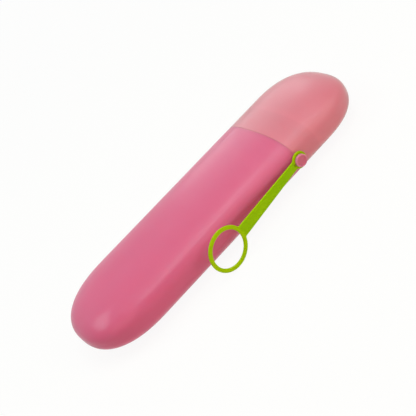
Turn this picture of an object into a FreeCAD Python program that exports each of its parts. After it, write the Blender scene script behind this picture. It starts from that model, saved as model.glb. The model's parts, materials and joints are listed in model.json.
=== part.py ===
import FreeCAD, Part
import math
import os

# Toothbrush case: two moulded shells on an inner collar, with a silicone strap on a stud at the seam.
# The case lies flat. +X runs along it towards the cap, +Z is up, and the stud is on the -Y side.
# The origin is on the resting flat, under the middle of the case's length. Lengths are in millimetres.

# Outer form of the two shells
case_width = 64.5
case_height = 26.8
section_power = 2.6
dome_power = 2.4
body_straight_length = 107.2
body_dome_length = 40.0
cap_skirt_length = 23.3
cap_dome_length = 34.5
dome_tip_share = 0.12
rest_flat_depth = 0.12

# Walls of the shells
shell_wall = 1.8
ledge_width = 0.7
rim_chamfer = 0.3
notch_clearance = 0.25

# Collar that joins the shells
collar_wall = 1.2
collar_depth_in_body = 13.0
collar_depth_in_cap = 15.0
collar_clearance = 0.2
collar_end_clearance = 0.4
collar_lead_in = 0.5
grip_bead_clearance = 0.08
grip_bead_width = 1.8
grip_bead_inset = 5.0

# Stud that holds the strap
head_radius = 3.6
head_thickness = 1.4
head_edge_radius = 0.4
head_rim_width = 0.4
head_dish_depth = 0.15
shank_radius = 2.2
stud_seat_depth = 0.12
stud_seat_clearance = 0.25
stud_shoulder_width = 0.8
pin_clearance = 0.1
barb_lip = 0.6
barb_length = 1.3
barb_tip_inset = 0.3
barb_clearance = 0.1
barb_slot_width = 0.7

# Strap
strap_thickness = 1.2
strap_edge_radius = 0.35
strap_edge_limit_share = 0.4
strap_pitch = 63.9
strap_splay_deg = 6.4
strap_play = 0.15
strap_floor_gap = 0.1
tail_width_at_eye = 4.8
tail_width_at_ring = 7.5
eye_clearance = 0.3
eye_band_width = 2.3
eye_slit_length = 3.2
eye_slit_width = 3.0
eye_flare_radius = 1.8
ring_inner_radius = 10.4
ring_band_width = 2.25
ring_flare_radius = 1.0

# One overrun for all cuts, and how finely the curved outlines are drawn
overrun = 2.0
section_points = 48
dome_stations = 12

# Places and sizes that follow from these
case_length = body_straight_length + body_dome_length + cap_skirt_length + cap_dome_length
half_width = case_width / 2
half_height = case_height / 2
axis_z = half_height - rest_flat_depth
body_end_x = -case_length / 2
seam_x = body_end_x + body_dome_length + body_straight_length
socket_wall = shell_wall - ledge_width
collar_inset = socket_wall + collar_clearance
collar_bore_inset = collar_inset + collar_wall
stud_seat_radius = shank_radius + stud_seat_clearance
pin_radius = shank_radius - stud_shoulder_width
barb_radius = pin_radius + barb_lip
eye_hole_radius = shank_radius + eye_clearance
eye_outer_radius = eye_hole_radius + eye_band_width
ring_outer_radius = ring_inner_radius + ring_band_width
splay = math.radians(strap_splay_deg)
strap_half_depth = strap_thickness / 2 * math.cos(splay)
eye_centre_y = -(half_width + strap_play + strap_half_depth + eye_outer_radius * math.sin(splay))
head_under_y = eye_centre_y - strap_half_depth - head_radius * math.sin(splay) - strap_play
ring_drop = axis_z - ring_outer_radius - strap_floor_gap
strap_sag_deg = math.degrees(math.asin(ring_drop / strap_pitch))

x_axis = FreeCAD.Vector(1, 0, 0)
y_axis = FreeCAD.Vector(0, 1, 0)
z_axis = FreeCAD.Vector(0, 0, 1)


def side_reach(inset, height):
    """How far the section, drawn in by inset, reaches sideways at a height from the axis."""
    height_share = height / (half_height - inset)
    return (half_width - inset) * (1 - height_share ** section_power) ** (1 / section_power)


stud_seat_y = -side_reach(collar_inset, stud_seat_radius) + stud_seat_depth
barb_y = -side_reach(collar_bore_inset, barb_radius) + barb_clearance


def section_wire(x, inset=0.0, scale=1.0):
    """The case's section at x, rounded and flat below, drawn in by inset and scaled about its axis."""
    reach_y = half_width - inset
    reach_z = half_height - inset
    flat_z_share = 1 - rest_flat_depth / reach_z
    flat_y_share = (1 - flat_z_share ** section_power) ** (1 / section_power)
    start = math.atan2(-flat_z_share, flat_y_share)
    sweep = math.pi - 2 * start
    points = []
    for step in range(section_points + 1):
        angle = start + sweep * step / section_points
        across = math.cos(angle)
        up = math.sin(angle)
        reach = (abs(across) ** section_power + abs(up) ** section_power) ** (-1 / section_power)
        y = reach_y * scale * reach * across
        z = reach_z * scale * reach * up
        points.append(FreeCAD.Vector(x, y, axis_z + z))
    curve = Part.BSplineCurve()
    curve.interpolate(Points=points)
    return Part.Wire([curve.toShape(), Part.LineSegment(points[-1], points[0]).toShape()])


def section_prism(x_from, x_to, inset=0.0):
    """A straight length of the case's section."""
    return Part.Face(section_wire(x_from, inset)).extrude(x_axis * (x_to - x_from))


def ruled_loft(wires):
    """A solid with straight sides from each section to the next."""
    return Part.makeLoft(wires, True, True)


def dome(x_base, length, direction, inset=0.0):
    """A closed end: the section shrinks by a rounded law to a small flat tip."""
    tip_angle = math.acos(dome_tip_share ** (dome_power / 2))
    wires = []
    for step in range(dome_stations + 1):
        angle = tip_angle * step / dome_stations
        along_share = math.sin(angle) ** (2 / dome_power)
        scale = math.cos(angle) ** (2 / dome_power)
        x = x_base + direction * (length - inset) * along_share
        wires.append(section_wire(x, inset, scale))
    return Part.makeLoft(wires, True, False)


def stud_cylinder(radius, y_from, y_to):
    """A cylinder on the stud's axis, which crosses the case's side at the seam."""
    low, high = sorted((y_from, y_to))
    return Part.makeCylinder(radius, high - low, FreeCAD.Vector(seam_x, low, axis_z), y_axis)


def stud_cone(radius_from, radius_to, y_from, y_to):
    """A cone with a flat tip on the stud's axis."""
    base = FreeCAD.Vector(seam_x, y_from, axis_z)
    return Part.makeCone(radius_from, radius_to, y_to - y_from, base, y_axis)


def shell(straight_length, dome_length, direction, socket_depth):
    """One half of the case, with a bevelled rim, a socket for the collar and a notch for the stud."""
    dome_x = seam_x + direction * straight_length
    mouth_x = seam_x - direction * overrun
    bevel_x = seam_x + direction * rim_chamfer
    bevel = ruled_loft([section_wire(seam_x, rim_chamfer), section_wire(bevel_x)])
    outer = bevel.fuse(section_prism(bevel_x, dome_x)).fuse(dome(dome_x, dome_length, direction))
    cavity = section_prism(mouth_x, dome_x, shell_wall)
    cavity = cavity.fuse(dome(dome_x, dome_length, direction, shell_wall))
    socket = section_prism(mouth_x, seam_x + direction * socket_depth, socket_wall)
    notch = stud_cylinder(shank_radius + notch_clearance, -half_width - overrun, -half_width + shell_wall)
    return outer.cut(cavity).cut(socket).cut(notch)


def body_shell():
    """The deep half, whose socket ends in the ledge that the collar stands on."""
    return shell(body_straight_length, body_dome_length, -1, collar_depth_in_body)


def cap_shell():
    """The short half, which pulls off the collar."""
    return shell(cap_skirt_length, cap_dome_length, 1, collar_depth_in_cap + collar_end_clearance)


def grip_bead(x_middle):
    """A low ridge round the collar, which grips the shell around it."""
    half = grip_bead_width / 2
    crest = half / 2
    crest_inset = socket_wall + grip_bead_clearance
    outline = [(-half, collar_inset), (-crest, crest_inset), (crest, crest_inset), (half, collar_inset)]
    return ruled_loft([section_wire(x_middle + offset, inset) for offset, inset in outline])


def neck_collar():
    """A sleeve that stands on the ledge in the body and carries the cap, with a flat seat for the stud."""
    low_x = seam_x - collar_depth_in_body
    high_x = seam_x + collar_depth_in_cap
    lead_x = high_x - collar_lead_in
    tip_inset = collar_inset + collar_lead_in
    lead_in = ruled_loft([section_wire(lead_x, collar_inset), section_wire(high_x, tip_inset)])
    sleeve = section_prism(low_x, lead_x, collar_inset).fuse(lead_in)
    for bead_x in (low_x + grip_bead_inset, high_x - grip_bead_inset):
        sleeve = sleeve.fuse(grip_bead(bead_x))
    bore = section_prism(low_x - overrun, high_x + overrun, collar_bore_inset)
    seat = stud_cylinder(stud_seat_radius, -half_width, stud_seat_y)
    pin_hole = stud_cylinder(pin_radius + pin_clearance, -half_width, stud_seat_y + collar_wall + overrun)
    return sleeve.cut(bore).cut(seat).cut(pin_hole)


def strap_stud():
    """A round stud: a dished head, a shank for the strap's eye, and a split barb held by the collar."""
    top_y = head_under_y - head_thickness
    tip_y = barb_y + barb_length
    dish_radius = head_radius - head_edge_radius - head_rim_width
    head = stud_cylinder(head_radius, top_y, head_under_y)
    top_edges = [edge for edge in head.Edges if edge.BoundBox.YMax < head_under_y - head_edge_radius]
    head = head.makeFillet(head_edge_radius, top_edges)
    head = head.cut(stud_cone(dish_radius, dish_radius - head_dish_depth, top_y, top_y + head_dish_depth))
    shank = stud_cylinder(shank_radius, head_under_y, stud_seat_y)
    pin = stud_cylinder(pin_radius, stud_seat_y, barb_y)
    barb = stud_cone(barb_radius, pin_radius - barb_tip_inset, barb_y, tip_y)
    slot_y = barb_y - collar_wall / 2
    slot_corner = FreeCAD.Vector(seam_x - barb_radius, slot_y, axis_z - barb_slot_width / 2)
    slot = Part.makeBox(2 * barb_radius, tip_y - slot_y + overrun, barb_slot_width, slot_corner)
    return head.fuse(shank).fuse(pin).fuse(barb).cut(slot)


def strap_plate(points):
    """A plate of the strap's thickness with the given corners, in the strap's own plane."""
    corners = [FreeCAD.Vector(x, -strap_thickness / 2, z) for x, z in points]
    return Part.Face(Part.makePolygon(corners + corners[:1])).extrude(y_axis * strap_thickness)


def strap_disc(x, radius):
    """A disc of the strap's thickness on the strap's centre line."""
    return Part.makeCylinder(radius, strap_thickness, FreeCAD.Vector(x, -strap_thickness / 2, 0), y_axis)


def inner_corners(shape, x_from, x_to):
    """The edges across the strap's thickness where its tail meets the eye or the ring."""
    found = []
    for edge in shape.Edges:
        box = edge.BoundBox
        across = box.YLength > strap_thickness / 2 and box.XLength < strap_edge_radius
        if across and x_from < box.XMin < x_to and abs(box.Center.z) > tail_width_at_eye / 4:
            found.append(edge)
    return found


def outline_edges(shape):
    """All edges round the strap's two flat faces."""
    flats = [face for face in shape.Faces if face.BoundBox.YLength < strap_thickness / 2]
    return [edge for face in flats for edge in face.Edges]


def carry_strap():
    """A flat moulded strap: an eye with a slit, a tail that widens and a finger ring."""
    tail_end_x = -strap_pitch + ring_inner_radius
    near = tail_width_at_eye / 2
    far = tail_width_at_ring / 2
    tail = strap_plate([(0, -near), (0, near), (tail_end_x, far), (tail_end_x, -far)])
    strap = strap_disc(0, eye_outer_radius).fuse(tail).fuse(strap_disc(-strap_pitch, ring_outer_radius))
    strap = strap.removeSplitter()
    middle_x = -strap_pitch / 2
    strap = strap.makeFillet(eye_flare_radius, inner_corners(strap, middle_x, 0))
    strap = strap.makeFillet(ring_flare_radius, inner_corners(strap, -strap_pitch, middle_x))
    strap = strap.cut(strap_disc(-strap_pitch, ring_inner_radius))
    edge_radius = min(strap_edge_radius, strap_thickness * strap_edge_limit_share)
    strap = strap.makeFillet(edge_radius, outline_edges(strap))
    slit_end_x = -(eye_hole_radius + eye_slit_length)
    slit = strap_plate([(0, -eye_slit_width / 2), (0, eye_slit_width / 2), (slit_end_x, 0)])
    strap = strap.cut(strap_disc(0, eye_hole_radius).fuse(slit))
    strap.rotate(FreeCAD.Vector(), y_axis, -strap_sag_deg)
    strap.rotate(FreeCAD.Vector(), z_axis, strap_splay_deg)
    strap.translate(FreeCAD.Vector(seam_x, eye_centre_y, axis_z))
    return strap


def main():
    """Builds each piece in its place and writes it to a file of its own."""
    os.makedirs("parts", exist_ok=True)
    for piece in (body_shell, cap_shell, neck_collar, strap_stud, carry_strap):
        shape = piece()
        box = shape.optimalBoundingBox()
        print(piece.__name__, len(shape.Solids), "solid, valid", shape.isValid())
        print("  volume", round(shape.Volume, 1))
        print("  from", [round(place, 2) for place in (box.XMin, box.YMin, box.ZMin)])
        print("  to", [round(place, 2) for place in (box.XMax, box.YMax, box.ZMax)])
        shape.exportStep("parts/" + piece.__name__ + ".step")


main()
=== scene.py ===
# %% [markdown]
# # A toothbrush case with a finger strap
# The case is a flat tube of frosted plastic with two round ends. Its short end pulls off as a cap, and
# a lime green silicone strap hangs from a stud where the two halves meet.
# The construction model already exists, so we load it as a fixed frame and build or dress each piece in
# its place, in metres. Modelling from the frame, and not by eye, keeps every piece on what carries it.

# %% Load the frame
import json
import math

import bmesh
import bpy
from mathutils import Color, Matrix, Vector


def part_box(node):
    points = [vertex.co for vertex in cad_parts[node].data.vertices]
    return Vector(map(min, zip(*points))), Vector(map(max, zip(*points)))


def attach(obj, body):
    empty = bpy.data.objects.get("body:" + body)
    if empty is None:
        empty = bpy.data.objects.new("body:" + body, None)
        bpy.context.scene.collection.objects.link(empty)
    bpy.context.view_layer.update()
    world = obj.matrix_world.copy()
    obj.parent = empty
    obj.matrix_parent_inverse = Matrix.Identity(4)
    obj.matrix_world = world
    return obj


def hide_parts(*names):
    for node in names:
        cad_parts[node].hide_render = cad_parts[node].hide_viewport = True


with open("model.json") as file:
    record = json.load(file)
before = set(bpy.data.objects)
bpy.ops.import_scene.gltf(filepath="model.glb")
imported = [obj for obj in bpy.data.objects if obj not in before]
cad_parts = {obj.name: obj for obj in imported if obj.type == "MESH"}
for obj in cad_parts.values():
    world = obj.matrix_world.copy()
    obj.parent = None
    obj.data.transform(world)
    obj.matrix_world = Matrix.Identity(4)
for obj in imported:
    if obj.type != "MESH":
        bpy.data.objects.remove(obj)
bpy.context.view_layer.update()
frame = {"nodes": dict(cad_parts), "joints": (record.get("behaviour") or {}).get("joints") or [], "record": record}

print("frame holds", sorted(frame["nodes"]))

# %% [markdown]
# ## Measuring the case
# The frame tells where the halves meet and how wide and tall the case is. A narrow flat under the case
# cuts its height a little, so we add the flat's depth back to find the middle of the section. One could
# type these sizes again, but a size that is measured can't drift away from the model.

# %% Measure the case
millimetre = 0.001
rest_flat_depth = 0.12 * millimetre
body_low, body_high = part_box("body_shell")
half_width = (body_high.y - body_low.y) / 2
half_height = (body_high.z - body_low.z + rest_flat_depth) / 2
axis_z = body_high.z - half_height
seam_x = body_high.x
print("section", round(half_width * 2, 4), "by", round(half_height * 2, 4), "seam at", round(seam_x, 4))

# %% [markdown]
# ## The section of the case
# Cut across, the case is fuller than an ellipse and softer than a rounded box. A superellipse gives
# just that: a power of 2 is an ellipse, a high power is a box, and 2.6 fits this case. We could draw it
# with a curve and handles, but a formula lets us pull the same section in for the inner walls.

# %% Draw the section
section_power = 2.6


def case_section(angle, inset=0.0, scale=1.0):
    """A point of the section. Angle 0 is the plain side, a half turn is the stud's side."""
    across = math.cos(angle)
    up = math.sin(angle)
    reach = (abs(across) ** section_power + abs(up) ** section_power) ** (-1 / section_power)
    flat_z = rest_flat_depth - (half_height - inset)
    y = (half_width - inset) * reach * across
    z = max((half_height - inset) * reach * up, flat_z)
    return y * scale, axis_z + z * scale


print("top of the section at", round(case_section(math.pi / 2)[1], 5))

# %% [markdown]
# ## Columns round the section
# Each shell is a grid: columns run along the case, and rings run round it. The rims have a half round
# notch for the stud's shank, so we place columns at even turns of that half circle and spread the rest
# evenly. A boolean cut could make the notch too, but it would leave long thin faces in a smooth wall.

# %% Space the columns
notch_radius = 2.45 * millimetre
notch_columns = 18
plain_columns = 150


def stud_side_angle(height):
    """The angle of the section's point on the stud's side, at a height from the middle."""
    up = height / half_height
    out = (1 - abs(up) ** section_power) ** (1 / section_power)
    return math.atan2(up, -out) % math.tau


columns = []
for step in range(notch_columns + 1):
    turn = math.pi * step / notch_columns
    columns.append((stud_side_angle(notch_radius * math.cos(turn)), notch_radius * math.sin(turn)))
plain_start = columns[-1][0]
plain_sweep = math.tau - (columns[-1][0] - columns[0][0])
for step in range(1, plain_columns):
    columns.append((plain_start + plain_sweep * step / plain_columns, 0.0))
print(len(columns), "columns round the case")

# %% [markdown]
# ## From points to a piece
# Blender keeps a shape in a mesh, and its place in an object that shows the mesh. We collect points and
# faces in a bmesh, which is easy to add to, and hand it over once it is whole. A moulded wall is smooth
# and its edges are crisp, so faces are shaded smooth and only corners above 35 degrees stay sharp.

# %% Mesh helper
crisp_corner = math.radians(35)


def place_mesh(maker, name):
    """Turns the built mesh into an object with smooth faces and crisp corners."""
    bmesh.ops.recalc_face_normals(maker, faces=maker.faces[:])
    mesh = bpy.data.meshes.new(name)
    maker.to_mesh(mesh)
    maker.free()
    mesh.shade_smooth()
    mesh.set_sharp_from_angle(angle=crisp_corner)
    piece = bpy.data.objects.new(name, mesh)
    bpy.context.scene.collection.objects.link(piece)
    print(name, "has", len(mesh.polygons), "faces")
    return piece


print("corners above", round(math.degrees(crisp_corner)), "degrees stay crisp")

# %% [markdown]
# ## A skin over stations
# A station is one ring: its place along the case, how far it is drawn in, its scale, and how much of
# the notch it follows. A skin joins each ring to the next with four-sided faces, so one helper makes
# both shells. A loft of curves would do it as well, but here each ring stays exactly where we put it.

# %% Ring helpers
def join_rings(maker, first, second):
    """Four-sided faces between two rings with as many points."""
    count = len(first)
    for place in range(count):
        follow = (place + 1) % count
        maker.faces.new((first[place], first[follow], second[follow], second[place]))


def section_rings(maker, stations):
    """A ring of points at each station, joined to the one before."""
    rings = []
    for x, inset, scale, notch_share in stations:
        ring = []
        for angle, notch_depth in columns:
            y, z = case_section(angle, inset, scale)
            ring.append(maker.verts.new((x + notch_share * notch_depth, y, z)))
        if rings:
            join_rings(maker, rings[-1], ring)
        rings.append(ring)
    return rings


print("a ring has", len(columns), "points")

# %% [markdown]
# ## The closed ends
# Both ends round off with the same law along the case: the section shrinks slowly, then quickly, to a
# small flat. A half of a stretched sphere would be simpler, but this end is blunter than a sphere. The
# law has a power of its own, as the section has, and 2.4 follows the outline of the real end.

# %% Rounded ends
dome_power = 2.4
dome_tip_scale = 0.12
dome_rings = 30


def dome_law():
    """Pairs of the share along the end and the section's scale there, from its base to its tip."""
    tip_angle = math.acos(dome_tip_scale ** (dome_power / 2))
    law = []
    for step in range(dome_rings + 1):
        angle = tip_angle * step / dome_rings
        law.append((math.sin(angle) ** (2 / dome_power), math.cos(angle) ** (2 / dome_power)))
    return law


print("an end has", len(dome_law()), "rings, the last at", round(dome_law()[-1][0], 4), "of its length")

# %% [markdown]
# ## The gate marks
# On a moulded shell the small flat at the tip is where the plastic came in, so it carries a gate mark: a
# shallow round dimple with a nub. A bump in the finish could fake it, but a real dimple stays in the mesh
# when the case is exported. We bend the last rings from the section into circles to make it.

# %% Gate mark
gate_radius = 1.1 * millimetre
gate_depth = 0.12 * millimetre
gate_bevel = 0.12 * millimetre
nub_radius = 0.4 * millimetre
nub_bevel = 0.08 * millimetre
gate_steps = [
    (gate_radius, 0.0),
    (gate_radius - gate_bevel, gate_depth),
    (nub_radius, gate_depth),
    (nub_radius - nub_bevel, gate_depth / 2),
]


def gate_mark(maker, tip_ring, inward):
    """Closes an outer tip with a dimple and a nub. Inward is the way into the case, +1 or -1."""
    tip_x = tip_ring[0].co.x
    last = tip_ring
    for radius, depth in gate_steps:
        ring = []
        for point in tip_ring:
            out = Vector((0, point.co.y, point.co.z - axis_z)).normalized()
            ring.append(maker.verts.new(Vector((tip_x + inward * depth, 0, axis_z)) + out * radius))
        join_rings(maker, last, ring)
        last = ring
    maker.faces.new(last)


print("a gate mark is", round(gate_radius * 2, 5), "across")

# %% [markdown]
# ## The walls of a shell
# Each shell is one closed skin: from the tip over the outside to the rim, round the rim's lip, down the
# socket for the collar to its ledge, and along the inner wall to the inner tip. A modifier could thicken
# a single wall, but not thin it for the socket. Real walls also let light soak in as in a thin moulding.

# %% Wall sizes
shell_wall = 1.8 * millimetre
socket_wall = 1.1 * millimetre
lip_round = 0.16 * millimetre
lip_inner_round = 0.1 * millimetre
lip_steps = 4
notch_fade = 8 * millimetre
# Millimetres from the rim, closer together near it.
rim_ring_places = [0.6, 1.2, 2.0, 3.0, 4.5, 6.0, 8.0]
plain_ring_spacing = 6 * millimetre
print("walls are", round(shell_wall, 4), "thick, and", round(socket_wall, 4), "over the collar")

# %% Shell helper
def quarter_turn(steps):
    """Angles from 0 to a quarter turn, in even steps."""
    return [math.pi / 2 * step / steps for step in range(steps + 1)]


def shell(name, inward, tip_x, straight_length, socket_depth):
    """One half of the case. Inward is the way from its tip to the seam, +1 or -1."""

    def station(depth, inset=0.0, scale=1.0):
        notch_share = max(0.0, 1 - depth / notch_fade)
        return seam_x - inward * depth, inset, scale, -inward * notch_share

    def straight(start, end, inset):
        count = max(1, round((end - start) / plain_ring_spacing))
        return [station(start + (end - start) * step / count, inset) for step in range(count + 1)]

    law = dome_law()
    dome_length = (abs(tip_x - seam_x) - straight_length) / law[-1][0]
    inner_length = dome_length - shell_wall
    near_rim = [place * millimetre for place in rim_ring_places]

    # The outside, from the tip to the rim.
    stations = [station(straight_length + dome_length * along, 0.0, scale) for along, scale in law[::-1]]
    stations += straight(near_rim[-1], straight_length, 0.0)[-2::-1]
    stations += [station(depth) for depth in near_rim[-2::-1]]

    # The lip, rounded outside and inside.
    for turn in quarter_turn(lip_steps):
        stations.append(station(lip_round * (1 - math.sin(turn)), lip_round * (1 - math.cos(turn))))
    for turn in quarter_turn(lip_steps):
        inset = socket_wall - lip_inner_round * (1 - math.sin(turn))
        stations.append(station(lip_inner_round * (1 - math.cos(turn)), inset))

    # The socket, its ledge, and the inner wall up to the inner tip.
    stations += [station(depth, socket_wall) for depth in near_rim]
    stations.append(station(socket_depth, socket_wall))
    stations += straight(socket_depth, straight_length, shell_wall)
    for along, scale in law[1:]:
        stations.append(station(straight_length + inner_length * along, shell_wall, scale))

    maker = bmesh.new()
    rings = section_rings(maker, stations)
    gate_mark(maker, rings[0], inward)
    maker.faces.new(rings[-1])
    return place_mesh(maker, name)


print("a lip rounds off in", len(quarter_turn(lip_steps)), "rings outside and as many inside")

# %% [markdown]
# ## The body
# The body is the long half, a deep pink cup that stays in the hand. Its socket goes down to the foot of
# the collar, which stands in the body's mouth, so we measure the collar in the frame. A copy of the
# construction mesh would be quicker, but it has no rounded lip and no gate mark.

# %% Body
body_straight = 107.2 * millimetre
collar_low, collar_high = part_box("neck_collar")
body_socket = seam_x - collar_low.x

body = shell("case_body", 1, body_low.x, body_straight, body_socket)
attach(body, "case")
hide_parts("body_shell")

# %% [markdown]
# ## The cap
# The cap is the short half, which slides over the collar and pulls off along the case. It is the same
# kind of shell turned round, so the same helper makes it, and the two rims match at every column. We
# could mirror the body, but the cap is shorter and its socket ends a little past the collar.

# %% Cap
cap_straight = 23.3 * millimetre
collar_end_gap = 0.4 * millimetre
cap_tip_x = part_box("cap_shell")[1].x
cap_socket = collar_high.x - seam_x + collar_end_gap

cap = shell("case_cap", -1, cap_tip_x, cap_straight, cap_socket)
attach(cap, "cap")
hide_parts("cap_shell")

# %% [markdown]
# ## The strap's place
# The strap is one flat piece of moulded silicone: an eye that buttons over the stud, a tail that widens,
# and a ring for a finger. It hangs in a plane beside the case and turns about the stud. One could model
# it there at a slant, but a flat drawing is easier to get right. The frame gives the plane to put it in.

# %% Place the strap
swivel = next(joint for joint in frame["joints"] if joint["name"] == "strap_swivel")
loop = next(mount for mount in frame["record"]["mounts"] if mount["name"] == "hang_loop")
eye_centre = Vector(swivel["pos_m"])
ring_centre = Vector(loop["pos_m"])
strap_out = Vector(loop["axis"]).normalized()
strap_along = (eye_centre - ring_centre).normalized()
strap_across = strap_out.cross(strap_along)
strap_pitch = (eye_centre - ring_centre).length
ring_inner_radius = loop["dims"]["r_mm"] * millimetre
print("ring is", round(strap_pitch, 4), "from the eye,", round(ring_inner_radius * 2, 4), "across inside")

# %% [markdown]
# ## Arcs and flares
# The strap's outline is made of arcs and straight lines that touch smoothly, as on a drawing board. Where
# the tail meets the eye or the ring, a small arc leads from one into the other, so that the silicone
# doesn't tear there. We could place handles by eye, but a little geometry finds where the lines touch.

# %% Arc and flare helpers
arc_step = math.radians(4)
fewest_arc_steps = 3


def arc(centre, radius, start, end):
    """Points of an arc, from the start angle to the end angle."""
    count = max(fewest_arc_steps, math.ceil(abs(end - start) / arc_step))
    turns = [start + (end - start) * step / count for step in range(count + 1)]
    return [centre + radius * Vector((math.cos(turn), math.sin(turn))) for turn in turns]


def angle_of(point):
    """The direction of a flat vector, as an angle."""
    return math.atan2(point.y, point.x)


def flare(centre, radius, start, along, out, flare_radius, nearer):
    """A small arc that leads from a disc into the tail's straight edge."""
    offset = start + out * flare_radius - centre
    half = offset.dot(along)
    root = math.sqrt(half ** 2 - offset.length_squared + (radius + flare_radius) ** 2)
    travel = -half - root if nearer else -half + root
    middle = start + along * travel + out * flare_radius
    to_disc = angle_of(centre - middle)
    to_edge = angle_of(-out)
    if nearer:
        return arc(middle, flare_radius, to_edge, to_disc)
    return arc(middle, flare_radius, to_disc, to_edge)


print("a full circle has", len(arc(Vector((0, 0)), 1, 0, math.tau)) - 1, "steps")

# %% [markdown]
# ## The strap's outer edge
# Seen flat, the eye is a small disc, the ring a large one, and the tail a wedge between them. The eye lies
# at the origin and the ring on the negative x axis. Both sides are alike, and drawing each by itself could
# leave them uneven, so we work out one side from the eye's round end to the ring's and mirror it.

# %% Strap edge
flat_eye = Vector((0, 0))
flat_ring = Vector((-strap_pitch, 0))
eye_outer_radius = 4.8 * millimetre
ring_outer_radius = 12.65 * millimetre
eye_flare = 1.8 * millimetre
ring_flare = 1.0 * millimetre
tail_half_at_eye = 2.4 * millimetre
tail_half_at_ring = 3.75 * millimetre


def strap_edge():
    """The strap's outer edge, from the eye's round end over one side to the ring's, and back."""
    start = Vector((0, tail_half_at_eye))
    along = (Vector((-strap_pitch + ring_inner_radius, tail_half_at_ring)) - start).normalized()
    out = Vector((along.y, -along.x))
    eye_lead = flare(flat_eye, eye_outer_radius, start, along, out, eye_flare, False)
    ring_lead = flare(flat_ring, ring_outer_radius, start, along, out, ring_flare, True)
    upper = arc(flat_eye, eye_outer_radius, 0, angle_of(eye_lead[0] - flat_eye))[:-1] + eye_lead
    ring_start = angle_of(ring_lead[-1] - flat_ring)
    upper += ring_lead + arc(flat_ring, ring_outer_radius, ring_start, math.pi)[1:]
    lower = [Vector((point.x, -point.y)) for point in upper[-2:0:-1]]
    return upper + lower


print("the outer edge has", len(strap_edge()), "points")

# %% [markdown]
# ## The holes in the strap
# The ring's hole is a plain circle. The eye's hole has a slit towards the tail, which opens when the eye
# is buttoned over the stud's wide head. Cutting holes out of a solid strap is one way, but we keep all
# three outlines as rows of points, because each of them gets the same rounded edge next.

# %% Strap holes
eye_hole_radius = 2.5 * millimetre
slit_tip = 5.7 * millimetre
slit_half = 1.5 * millimetre


def eye_hole():
    """The eye's hole with its slit, which lets the strap button over the stud's head."""
    along = Vector((-slit_tip, -slit_half)).normalized()
    start = Vector((0, slit_half))
    travel = -start.dot(along) + math.sqrt(start.dot(along) ** 2 - slit_half ** 2 + eye_hole_radius ** 2)
    meet = angle_of(start + along * travel)
    return arc(flat_eye, eye_hole_radius, -meet, meet) + [Vector((-slit_tip, 0))]


ring_hole = arc(flat_ring, ring_inner_radius, 0, math.tau)[:-1]
strap_outlines = [strap_edge(), eye_hole(), ring_hole]
print("strap outlines have", [len(outline) for outline in strap_outlines], "points")

# %% [markdown]
# ## Rounding the strap's edges
# Silicone leaves its mould with soft edges that catch the light as a thin bright line. We draw each
# outline several times, pulled in by a quarter circle at the top and the bottom, and fill the two faces
# between. A bevel modifier is quicker, but it can pinch at the slit, and this way every ring is ours.

# %% Edge helpers
strap_thickness = 1.2 * millimetre
strap_edge_round = 0.35 * millimetre
strap_face_ring = 0.12 * millimetre
edge_steps = 5
least_lean = 0.5


def pulled_in(outline, amount):
    """The outline moved to its left, where an outer edge has its material, and further at corners."""
    moved = []
    count = len(outline)
    for place, point in enumerate(outline):
        before = (point - outline[place - 1]).normalized()
        after = (outline[(place + 1) % count] - point).normalized()
        normal = Vector((-before.y - after.y, before.x + after.x)).normalized()
        lean = max(least_lean, normal.dot(Vector((-after.y, after.x))))
        moved.append(point + normal * (amount / lean))
    return moved


def edge_profile():
    """Pairs of pull and height, from the lower face round the edge to the upper face."""
    flat = strap_thickness / 2 - strap_edge_round
    quarter = []
    for turn in quarter_turn(edge_steps):
        quarter.append((strap_edge_round * (1 - math.cos(turn)), flat + strap_edge_round * math.sin(turn)))
    quarter.append((strap_edge_round + strap_face_ring, strap_thickness / 2))
    return [(pull, -height) for pull, height in quarter[::-1]] + quarter


print("the edge has", len(edge_profile()), "rings from face to face")

# %% [markdown]
# ## Where the strap is thin
# Light comes through the narrow ring and eye, and the rounded edges catch light, so there we paint the
# silicone yellower and brighter than on the broad tail: a painted glow and a painted edge highlight. A
# finish can't tell by itself where a piece is thin. We work it out from the flat drawing, where it is easy,
# and keep it on the points for the finish to read.

# %% Thinness helper
thin_fade = 2 * millimetre
# Painted highlight: the share of painted glow on the rounded edges.
painted_edge_glow = 0.8


def thinness_at(flat_point, pull):
    """Painted glow: 1 on the ring and the eye, some as a painted edge highlight, 0 on the tail's face."""
    from_ring = (flat_point - flat_ring).length - ring_outer_radius
    from_eye = flat_point.length - eye_outer_radius
    narrow = 1 - min(1.0, max(0.0, min(from_ring, from_eye) / thin_fade))
    at_edge = 1 - pull / (strap_edge_round + strap_face_ring)
    return max(narrow, painted_edge_glow * at_edge)


print("thinness on the ring", thinness_at(flat_ring, 0))

# %% [markdown]
# ## The strap
# Now the flat drawing becomes a closed skin in the strap's own plane: the rings of each outline make the
# edges, and a triangle fill closes the upper and the lower face round the two holes. An extruded curve
# with holes would fill itself, but it couldn't carry the thinness on its points.

# %% Strap
def strap_point(flat_point, height):
    """A point of the strap's own plane, put where the frame holds the strap."""
    return eye_centre + strap_along * flat_point.x + strap_across * flat_point.y + strap_out * height


def build_strap():
    """The strap as one closed skin, with its thinness kept on its points."""
    maker = bmesh.new()
    thinness = maker.verts.layers.float.new("thinness")
    lower_edges = []
    upper_edges = []
    for outline in strap_outlines:
        inward = 1 if outline is strap_outlines[0] else -1
        rings = []
        for pull, height in edge_profile():
            moved = pulled_in(outline, inward * pull)
            ring = [maker.verts.new(strap_point(point, height)) for point in moved]
            for vertex, point in zip(ring, outline):
                vertex[thinness] = thinness_at(point, pull)
            if rings:
                join_rings(maker, rings[-1], ring)
            rings.append(ring)
        for ring, edges in ((rings[0], lower_edges), (rings[-1], upper_edges)):
            edges += [maker.edges.get((ring[place - 1], ring[place])) for place in range(len(ring))]
    for edges in (lower_edges, upper_edges):
        bmesh.ops.triangle_fill(maker, edges=edges, use_beauty=True)
    return place_mesh(maker, "finger_strap")


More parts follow.
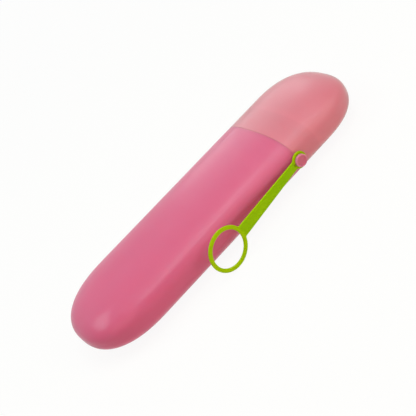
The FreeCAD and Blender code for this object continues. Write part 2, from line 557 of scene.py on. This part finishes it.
strap = build_strap()
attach(strap, "strap")
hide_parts("carry_strap")

# %% [markdown]
# ## Colours and nodes
# A colour is easiest to choose as it shows on a screen, from 0 to 255, but a shader takes linear light.
# A finish is a small graph of nodes, each fed with plain values or with what other nodes give. One can
# draw it by hand in the shader editor. In a script, one helper that adds a node keeps each finish short.

# %% Colour and node helpers
screen_white = 255


def colour(red, green, blue):
    """A screen colour from 0 to 255 as the linear values that a shader takes."""
    screen = Color((red / screen_white, green / screen_white, blue / screen_white))
    return (*screen.from_srgb_to_scene_linear(), 1.0)


def add_node(tree, kind, sockets, **settings):
    """Adds a node. A socket takes a plain value, or the output of another node, which is linked to it."""
    node = tree.nodes.new(kind)
    for name, value in settings.items():
        setattr(node, name, value)
    for name, value in sockets.items():
        if isinstance(value, bpy.types.NodeSocket):
            tree.links.new(value, node.inputs[name])
        else:
            node.inputs[name].default_value = value
    return node


print("mid grey on a screen is", round(colour(128, 128, 128)[0], 3), "in linear light")

# %% [markdown]
# ## Clouds and grain
# Frosted plastic and silicone are coloured all the way through. The colour clouds a little where the
# melt flowed, the gloss changes with it, and the mould leaves a fine grain. A flat colour would look like
# paint, so each finish has a noise in its colour, a finer one in its gloss, and a grain as a bump.

# %% Clouded finish
cloud_low = 0.3
cloud_high = 0.7
colour_detail = 3
gloss_detail = 4
gloss_clouds_across = 3
grain_detail = 2
grain_strength = 0.3


def clouded_finish(name, deep, pale, cloud_size, gloss, grain_size, grain_height):
    """A finish with a clouded colour, a clouded gloss and a moulded grain. Returns it and its shader."""
    finish = bpy.data.materials.new(name)
    finish.use_nodes = True
    tree = finish.node_tree
    shader = tree.nodes["Principled BSDF"]
    place = add_node(tree, "ShaderNodeTexCoord", {}).outputs["Object"]

    def cloud(size, detail):
        sockets = {"Vector": place, "Scale": 1 / size, "Detail": detail}
        return add_node(tree, "ShaderNodeTexNoise", sockets).outputs["Fac"]

    tint = add_node(tree, "ShaderNodeValToRGB", {"Fac": cloud(cloud_size, colour_detail)})
    deep_stop, pale_stop = tint.color_ramp.elements
    deep_stop.position = cloud_low
    deep_stop.color = deep
    pale_stop.position = cloud_high
    pale_stop.color = pale
    polish = add_node(tree, "ShaderNodeMapRange", {
        "Value": cloud(cloud_size / gloss_clouds_across, gloss_detail),
        "From Min": cloud_low,
        "From Max": cloud_high,
        "To Min": gloss[0],
        "To Max": gloss[1],
    })
    grain = add_node(tree, "ShaderNodeBump", {
        "Strength": grain_strength,
        "Distance": grain_height,
        "Height": cloud(grain_size, grain_detail),
    })
    tree.links.new(tint.outputs["Color"], shader.inputs["Base Color"])
    tree.links.new(polish.outputs["Result"], shader.inputs["Roughness"])
    tree.links.new(grain.outputs["Normal"], shader.inputs["Normal"])
    return finish, shader


print("a cloud runs from", cloud_low, "to", cloud_high, "of its noise")

# %% [markdown]
# ## Light in the wall
# Light soaks into these walls and comes out again nearby, which softens the shadows on them. A flat paint
# has none of that. A milky volume inside the walls would be closest to the real thing, but it renders
# slowly, so the shader's own subsurface does it. Its values are the same all over a finish.

# %% Soak helper
def set_sockets(shader, values):
    """Sets values that are the same all over a finish on the shader's own sockets."""
    for socket, value in values.items():
        shader.inputs[socket].default_value = value


def let_light_soak(shader, weight, depth, spread):
    """Light that comes out again within about that depth, where spread is each colour's share of it."""
    set_sockets(shader, {
        "Subsurface Weight": weight,
        "Subsurface Radius": spread,
        "Subsurface Scale": depth,
    })


pink_spread = (1.0, 0.35, 0.45)
print("in pink plastic red, green and blue soak by", pink_spread)

# %% [markdown]
# ## Sheen on the wall
# The frosted surface shines softly and cooler than its colour, and where light glances off it turns milky.
# A smooth skin from the mould adds a fainter, sharper shine. One strong gloss would look wet, so we layer
# three weak ones that the shader has: a gloss, a coat for the skin, and a sheen for the milky bloom.

# %% Sheen helper
frosted_gloss = 0.22
frosted_gloss_tint = (0.6, 0.95, 1.0, 1.0)
skin_coat = 0.2
skin_roughness = 0.16
bloom_roughness = 0.4
bloom_tint = (0.3, 1.0, 0.85, 1.0)


def add_sheen(shader, milkiness):
    """The frosted wall's soft cool gloss, a fainter and sharper one from its skin, and a milky bloom."""
    set_sockets(shader, {
        "Specular IOR Level": frosted_gloss,
        "Specular Tint": frosted_gloss_tint,
        "Coat Weight": skin_coat,
        "Coat Roughness": skin_roughness,
        "Sheen Weight": milkiness,
        "Sheen Roughness": bloom_roughness,
        "Sheen Tint": bloom_tint,
    })


print("the coat is", skin_coat, "strong, the gloss under it", frosted_gloss)

# %% [markdown]
# ## Painted light and shade
# A wall looks darker where another wall stands behind it, or where it ends, and paler where light comes
# through it or catches a rim. We paint that shade and light into the colour. One could paint it on the
# mesh, but a tint that multiplies the colour keeps the clouds underneath, and it can follow a place along
# the case. The place is measured on the piece itself, so the painted shade stays put when the cap is pulled off.

# %% Tint helpers
# The mix node's sockets have the same names for numbers, vectors and colours, so we pick them by number.
mix_share = 0
mix_first = 6
mix_second = 7
mix_result = 2


def tint_colour(shader, tint, share=1.0):
    """Multiplies a finish's colour by a tint, in full or by a share."""
    tree = shader.id_data
    base_colour = shader.inputs["Base Color"]
    sockets = {mix_share: share, mix_first: base_colour.links[0].from_socket, mix_second: tint}
    product = add_node(tree, "ShaderNodeMix", sockets, data_type="RGBA", blend_type="MULTIPLY")
    tree.links.new(product.outputs[mix_result], base_colour)


def paint_shade_and_light_along(shader, marks):
    """Paints shade and light into a finish's colour along the case. Each mark is a place and the painted
    brightness there.
    """
    tree = shader.id_data
    start = marks[0][0]
    end = marks[-1][0]
    place = add_node(tree, "ShaderNodeTexCoord", {}).outputs["Object"]
    along = add_node(tree, "ShaderNodeSeparateXYZ", {"Vector": place}).outputs["X"]
    share = add_node(tree, "ShaderNodeMapRange", {"Value": along, "From Min": start, "From Max": end})
    ramp = add_node(tree, "ShaderNodeValToRGB", {"Fac": share.outputs["Result"]})
    ramp.color_ramp.interpolation = "EASE"
    stops = ramp.color_ramp.elements
    for x, _ in marks[1:-1]:
        stops.new((x - start) / (end - start))
    for stop, (_, brightness) in zip(stops, marks):
        stop.color = (brightness, brightness, brightness, 1)
    tint_colour(shader, ramp.outputs["Color"])
    print("shaded from", round(start, 4), "to", round(end, 4), "along the case")


print("a mix takes its colours at sockets", mix_first, "and", mix_second)

# %% [markdown]
# ## Dressing a piece
# A mesh keeps its materials in slots. Each of our pieces is moulded in one go, so it has one slot,
# and what was in it before is cleared. One could give each face its own slot, but that pays off only
# where one piece has two finishes.

# %% Dress helper
def dress(piece, finish):
    """Gives a piece one finish all over."""
    piece.data.materials.clear()
    piece.data.materials.append(finish)
    print(piece.name, "wears", finish.name)


print(len(frame["nodes"]), "nodes to dress or to replace")

# %% [markdown]
# ## Body plastic
# The body is deep pink and frosted. Red light travels furthest in it, so it soaks most. Near the seam,
# where the cap's rim meets it and the collar stands behind the wall, a painted shade makes the pink a
# little darker. A dark line on the mesh would look drawn, so the painted shade eases in over the last
# millimetres.

# %% Body plastic
frosted_gloss_range = (0.34, 0.40)
frosted_grain_size = 0.35 * millimetre
frosted_grain_height = 0.02 * millimetre
frosted_soak = 0.4
frosted_soak_depth = 2.5 * millimetre
body_deep = colour(218, 92, 133)
body_pale = colour(224, 99, 140)
body_cloud_size = 60 * millimetre
body_milkiness = 0.12
# Painted shade: the colour darkens towards the seam, where the cap's rim meets the body.
body_painted_shade = [
    (seam_x - 6 * millimetre, 1.0),
    (seam_x - 2.5 * millimetre, 0.98),
    (seam_x - 0.5 * millimetre, 0.93),
    (seam_x, 0.9),
]

body_finish, body_shader = clouded_finish(
    "frosted deep pink", body_deep, body_pale, body_cloud_size,
    frosted_gloss_range, frosted_grain_size, frosted_grain_height,
)
add_sheen(body_shader, body_milkiness)
let_light_soak(body_shader, frosted_soak, frosted_soak_depth, pink_spread)
paint_shade_and_light_along(body_shader, body_painted_shade)
dress(body, body_finish)

# %% [markdown]
# ## Cap plastic
# The cap is the same frosted plastic in a paler, milkier pink. The collar shows through its wall as a
# faint band that ends in a soft line. We could make the wall clear enough to see the collar, but then the
# whole cap would look like glass. A painted shade over the collar, and painted light lines at the rim and
# past the collar's end, give the same look.

# %% Cap plastic
cap_deep = colour(218, 117, 134)
cap_pale = colour(224, 125, 142)
cap_cloud_size = 50 * millimetre
cap_milkiness = 0.28
# Painted shade over the collar, and painted light lines at the rim and just past the collar's end.
cap_painted_shade_and_light = [
    (seam_x, 0.97),
    (seam_x + 1 * millimetre, 1.03),
    (seam_x + 2.5 * millimetre, 1.02),
    (seam_x + 6 * millimetre, 1.0),
    (seam_x + 12 * millimetre, 0.98),
    (collar_high.x, 0.985),
    (collar_high.x + 1.5 * millimetre, 1.02),
    (collar_high.x + 6 * millimetre, 1.0),
]

cap_finish, cap_shader = clouded_finish(
    "frosted pale pink", cap_deep, cap_pale, cap_cloud_size,
    frosted_gloss_range, frosted_grain_size, frosted_grain_height,
)
add_sheen(cap_shader, cap_milkiness)
let_light_soak(cap_shader, frosted_soak, frosted_soak_depth, pink_spread)
paint_shade_and_light_along(cap_shader, cap_painted_shade_and_light)
dress(cap, cap_finish)

# %% [markdown]
# ## Collar plastic
# The collar that guides the cap is hidden until the cap comes off. We could build it again as we did the
# shells, but the frame's own mesh already has its shape, so it only gets a finish. Its colour can't be
# seen on the closed case and is a guess: a milky pink, paler and a little rougher than the walls.

# %% Collar plastic
collar_deep = colour(224, 172, 182)
collar_pale = colour(231, 184, 192)
collar_cloud_size = 40 * millimetre
collar_gloss_range = (0.4, 0.46)
collar_soak = 0.3
collar_soak_depth = 2 * millimetre

collar_finish, collar_shader = clouded_finish(
    "frosted milky pink", collar_deep, collar_pale, collar_cloud_size,
    collar_gloss_range, frosted_grain_size, frosted_grain_height,
)
let_light_soak(collar_shader, collar_soak, collar_soak_depth, pink_spread)
dress(frame["nodes"]["neck_collar"], collar_finish)

# %% [markdown]
# ## The stud's rim
# The stud has a round head with a thin, rounded rim. Light comes through the rim, so we paint its colour
# paler than the face: a painted glow. A shader can find edges from the mesh, but that depends on how the
# mesh is cut up. We paint the glow by the distance from the stud's axis, which is the same however the head
# is meshed.

# %% Rim helper
rim_start = 0.9 * millimetre
rim_end = 0.2 * millimetre
# Painted glow at the stud's rim: how much paler its colour is painted there.
painted_rim_glow = (1.14, 1.6, 1.6, 1.0)
stud_low, stud_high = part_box("strap_stud")
stud_radius = (stud_high.x - stud_low.x) / 2


def paint_rim_glow(shader, axis_point, radius, tint):
    """Paints a glow into a round head's colour towards its rim. The head's axis runs along y through the axis
    point.
    """
    tree = shader.id_data
    place = add_node(tree, "ShaderNodeTexCoord", {}).outputs["Object"]
    flat = add_node(tree, "ShaderNodeVectorMath", {0: place, 1: (1, 0, 1)}, operation="MULTIPLY")
    ends = {0: flat.outputs["Vector"], 1: (axis_point.x, 0, axis_point.z)}
    reach = add_node(tree, "ShaderNodeVectorMath", ends, operation="DISTANCE")
    rim = add_node(tree, "ShaderNodeMapRange", {
        "Value": reach.outputs["Value"],
        "From Min": radius - rim_start,
        "From Max": radius - rim_end,
    })
    tint_colour(shader, tint, rim.outputs["Result"])


print("stud's head is", round(stud_radius * 2, 4), "across")

# %% [markdown]
# ## Stud plastic
# The stud is a small moulding of satin mauve plastic, a little duller than the case. The frame's own mesh
# has the right shape, so it keeps that and only gets a finish. The pink of the body could serve here too,
# but a tone of its own sets the stud off from the wall behind it, as on the real case.

# %% Stud plastic
stud_deep = colour(207, 101, 129)
stud_pale = colour(213, 109, 137)
stud_cloud_size = 6 * millimetre
stud_gloss_range = (0.38, 0.46)
stud_grain_size = 0.3 * millimetre
stud_grain_height = 0.015 * millimetre
stud_gloss = 0.25
stud_soak = 0.4
stud_soak_depth = 2 * millimetre

stud_finish, stud_shader = clouded_finish(
    "satin mauve", stud_deep, stud_pale, stud_cloud_size,
    stud_gloss_range, stud_grain_size, stud_grain_height,
)
set_sockets(stud_shader, {"Specular IOR Level": stud_gloss})
let_light_soak(stud_shader, stud_soak, stud_soak_depth, pink_spread)
# Painted glow: the head's colour turns paler towards its rim.
paint_rim_glow(stud_shader, eye_centre, stud_radius, painted_rim_glow)
dress(frame["nodes"]["strap_stud"], stud_finish)

# %% [markdown]
# ## Strap silicone
# Silicone is matt and hardly reflects, so its lime green stays strong. Where it is thin, and on its rounded
# edges, a painted glow makes it yellower and brighter, read from the points of the mesh. Deep soaking could
# give the same glow, but on so thin a piece it renders as coarse noise, so a little soaking and the painted
# glow do the work together.

# %% Strap silicone
lime_deep = colour(112, 184, 0)
lime_pale = colour(121, 190, 0)
lime_cloud_size = 15 * millimetre
silicone_gloss_range = (0.42, 0.52)
silicone_grain_size = 0.4 * millimetre
silicone_grain_height = 0.015 * millimetre
silicone_gloss = 0.04
silicone_soak = 0.15
silicone_soak_depth = 0.8 * millimetre
lime_spread = (0.9, 1.0, 0.5)
# Painted glow: how much brighter and yellower the colour is painted where the silicone is thin or at an edge.
painted_glow_tint = (2.25, 1.19, 1.0, 1.0)

strap_finish, strap_shader = clouded_finish(
    "lime silicone", lime_deep, lime_pale, lime_cloud_size,
    silicone_gloss_range, silicone_grain_size, silicone_grain_height,
)
set_sockets(strap_shader, {"Specular IOR Level": silicone_gloss})
let_light_soak(strap_shader, silicone_soak, silicone_soak_depth, lime_spread)
painted_glow_share = add_node(strap_finish.node_tree, "ShaderNodeAttribute", {}, attribute_name="thinness")
tint_colour(strap_shader, painted_glow_tint, painted_glow_share.outputs["Fac"])
dress(strap, strap_finish)

# %% [markdown]
# ## The table
# A photographer's table for products is wide and white, and the case lies on it. A studio bends paper up
# behind the table to hide its far edge, but that works from one side only. Here a flat grid is the floor,
# and its finish hides the edge.

# %% Table
floor_reach = 3.0
floor_cells = 8
floor_maker = bmesh.new()
bmesh.ops.create_grid(floor_maker, x_segments=floor_cells, y_segments=floor_cells, size=floor_reach)
floor = place_mesh(floor_maker, "table")

# %% [markdown]
# ## White that doesn't light the case
# In the picture the surroundings are pure white, but lamps strong enough for that would wash the pink
# out. So the white is shown only to rays that look at it: from the camera, off a glossy surface, or
# through a clear one. Light that bounces on sees the plain table and a dim room instead.

# %% Rays that look
white = (1.0, 1.0, 1.0, 1.0)
further_rays = ("Is Glossy Ray", "Is Transmission Ray")


def seen_directly(tree):
    """A value of 1 for rays from the camera, a mirror or a clear piece, and 0 for light that bounces."""
    path = add_node(tree, "ShaderNodeLightPath", {})
    seen = path.outputs["Is Camera Ray"]
    for ray in further_rays:
        either = add_node(tree, "ShaderNodeMath", {0: seen, 1: path.outputs[ray]}, operation="MAXIMUM")
        seen = either.outputs["Value"]
    return seen


print("white is shown to the camera and to", len(further_rays), "more kinds of rays")

# %% [markdown]
# ## Table finish
# Near the case the table shows a little of its real surface, and with it the case's soft shadow. Further
# off it fades into full white, so that no line shows where the table ends. A gradient on a backdrop could
# hide that line too, but this one works from every side. The surface is a warm paper white.

# %% Table finish
paper_white = (0.94, 0.89, 0.82, 1.0)
paper_roughness = 0.9
white_share_near = 0.92
white_share_far = 1.0
near_reach = 0.25
far_reach = 1.2

table_finish = bpy.data.materials.new("white table")
table_finish.use_nodes = True
table_tree = table_finish.node_tree
table_shader = table_tree.nodes["Principled BSDF"]
set_sockets(table_shader, {"Base Color": paper_white, "Roughness": paper_roughness})
table_place = add_node(table_tree, "ShaderNodeTexCoord", {}).outputs["Object"]
from_case = add_node(table_tree, "ShaderNodeVectorMath", {0: table_place}, operation="LENGTH")
white_share = add_node(table_tree, "ShaderNodeMapRange", {
    "Value": from_case.outputs["Value"],
    "From Min": near_reach,
    "From Max": far_reach,
    "To Min": white_share_near,
    "To Max": white_share_far,
})
shares = {0: seen_directly(table_tree), 1: white_share.outputs["Result"]}
white_seen = add_node(table_tree, "ShaderNodeMath", shares, operation="MULTIPLY")
table_glow = add_node(table_tree, "ShaderNodeEmission", {"Color": white})
table_mix = add_node(table_tree, "ShaderNodeMixShader", {
    "Fac": white_seen.outputs["Value"],
    1: table_shader.outputs["BSDF"],
    2: table_glow.outputs["Emission"],
})
table_tree.links.new(table_mix.outputs["Shader"], table_tree.nodes["Material Output"].inputs["Surface"])
dress(floor, table_finish)

# %% [markdown]
# ## The room
# Round the table the room is white too, for rays that look. For the light that falls on the case it is
# nearly dark, because the lamps do that work. A bright room would be simpler, but it lights the case
# evenly from all sides and takes the shape out of it.

# %% Room
room_light = 0.03
room = bpy.data.worlds.new("white room")
bpy.context.scene.world = room
room.use_nodes = True
room_tree = room.node_tree
room_strength = add_node(room_tree, "ShaderNodeMapRange", {
    "Value": seen_directly(room_tree),
    "To Min": room_light,
    "To Max": 1.0,
})
room_sky = room_tree.nodes["Background"]
room_sky.inputs["Color"].default_value = white
room_tree.links.new(room_strength.outputs["Result"], room_sky.inputs["Strength"])
print("the room lights the case with", room_light, "of white")

# %% [markdown]
# ## A softbox
# A softbox is a lamp with a large bright face, and a glossy wall shows that face as a soft patch. A bare
# bulb would give small hard points instead. We say how bright the face is and work out the watts from its
# size, because a brightness stays the same when the lamp is made larger.

# %% Softbox helper
case_middle = Vector((0, 0, axis_z))
lamp_distance = 0.8


def softbox(name, way, width, height, brightness, tint):
    """A lamp that faces the case from a direction. Its brightness is that of its face, where 1 is white."""
    lamp = bpy.data.lights.new(name, "AREA")
    lamp.shape = "RECTANGLE"
    lamp.size = width
    lamp.size_y = height
    lamp.energy = brightness * math.pi * width * height
    lamp.color = tint
    to_lamp = Vector(way).normalized()
    holder = bpy.data.objects.new(name, lamp)
    holder.location = case_middle + to_lamp * lamp_distance
    holder.rotation_euler = (-to_lamp).to_track_quat("-Z", "Y").to_euler()
    bpy.context.scene.collection.objects.link(holder)
    print(name, "gives", round(lamp.energy, 2), "watts")


print("lamps stand", lamp_distance, "from the middle of the case")

# %% [markdown]
# ## Lamps
# Three softboxes hang over the case and draw the line along its near shoulder. Three stand behind it for
# the top, the milky far shoulder and the patch on the body's round end. Three in front open up the near
# side with warmer light, as a room does. One large lamp would be simpler, but it gives only one highlight
# and a dark near side.

# %% Lamps
plain_white = (1.0, 1.0, 1.0)
cool_white = (0.84, 1.0, 0.98)
warm_white = (1.0, 0.95, 0.79)
sunny_white = (1.0, 0.95, 0.66)

# Each lamp has a name, the way to it from the case, its width and height, its brightness and its tint.
lamps = [
    ("broad overhead softbox", (0.10, 0.00, 1.00), 0.70, 0.70, 1.25, plain_white),
    ("overhead strip", (0.15, -0.12, 0.98), 0.50, 0.22, 2.3, cool_white),
    ("small overhead softbox", (0.30, -0.14, 0.94), 0.30, 0.30, 1.7, cool_white),
    ("softbox behind the case", (0.10, 0.55, 0.80), 0.50, 0.30, 0.5, cool_white),
    ("softbox behind the cap", (0.42, 0.83, 0.36), 0.36, 0.25, 2.0, cool_white),
    ("softbox behind the body", (-0.52, 0.40, 0.75), 0.46, 0.24, 4.3, cool_white),
    ("front softbox at the cap", (0.55, -0.50, 0.67), 0.60, 0.60, 1.95, warm_white),
    ("front softbox at the body", (-0.55, -0.50, 0.67), 0.60, 0.60, 1.05, sunny_white),
    ("low front softbox", (0.00, -0.95, 0.30), 0.60, 0.60, 0.43, sunny_white),
]
for lamp in lamps:
    softbox(*lamp)

# %% [markdown]
# ## The view
# The camera looks down on the case from the stud's side, turned so that the case runs across the
# picture from corner to corner. One can fly it there by hand, but angles and a scale that were matched
# to the photograph can be read and corrected one by one. From them come three directions and a centre.

# %% View
view_azimuth = math.radians(-14.661)
view_elevation = math.radians(32.288)
view_roll = math.radians(-38.654)
picture_width = 416
pixels_per_metre = 1797.9
case_middle_pixel = (210.99, 203.61)

back = Vector((
    math.sin(view_azimuth) * math.cos(view_elevation),
    -math.cos(view_azimuth) * math.cos(view_elevation),
    math.sin(view_elevation),
))
level_right = Vector((math.cos(view_azimuth), math.sin(view_azimuth), 0))
level_up = back.cross(level_right)
right = level_right * math.cos(view_roll) + level_up * math.sin(view_roll)
up = back.cross(right)
aside = (case_middle_pixel[0] - picture_width / 2) / pixels_per_metre
below = (case_middle_pixel[1] - picture_width / 2) / pixels_per_metre
view_centre = case_middle - right * aside + up * below
print("the view is centred on", [round(value, 4) for value in view_centre])

# %% [markdown]
# ## Camera
# The camera stands back from the view's centre by the matched distance, and its lens is as long as it
# takes to show the case at the photograph's size. A longer lens from further off would show the case just
# as large, but the near end of the case would look smaller than it does in the photograph.

# %% Camera
view_distance = 0.53097
sensor_width = 36
camera_data = bpy.data.cameras.new("camera")
camera_data.sensor_width = sensor_width
camera_data.lens = pixels_per_metre * view_distance * sensor_width / picture_width
camera = bpy.data.objects.new("camera", camera_data)
view_turn = Matrix((right, up, back)).transposed()
camera.matrix_world = Matrix.Translation(view_centre + back * view_distance) @ view_turn.to_4x4()
bpy.context.scene.collection.objects.link(camera)
bpy.context.scene.camera = camera
bpy.context.scene.view_settings.view_transform = "Standard"
print("lens", round(camera_data.lens, 1), "mm")
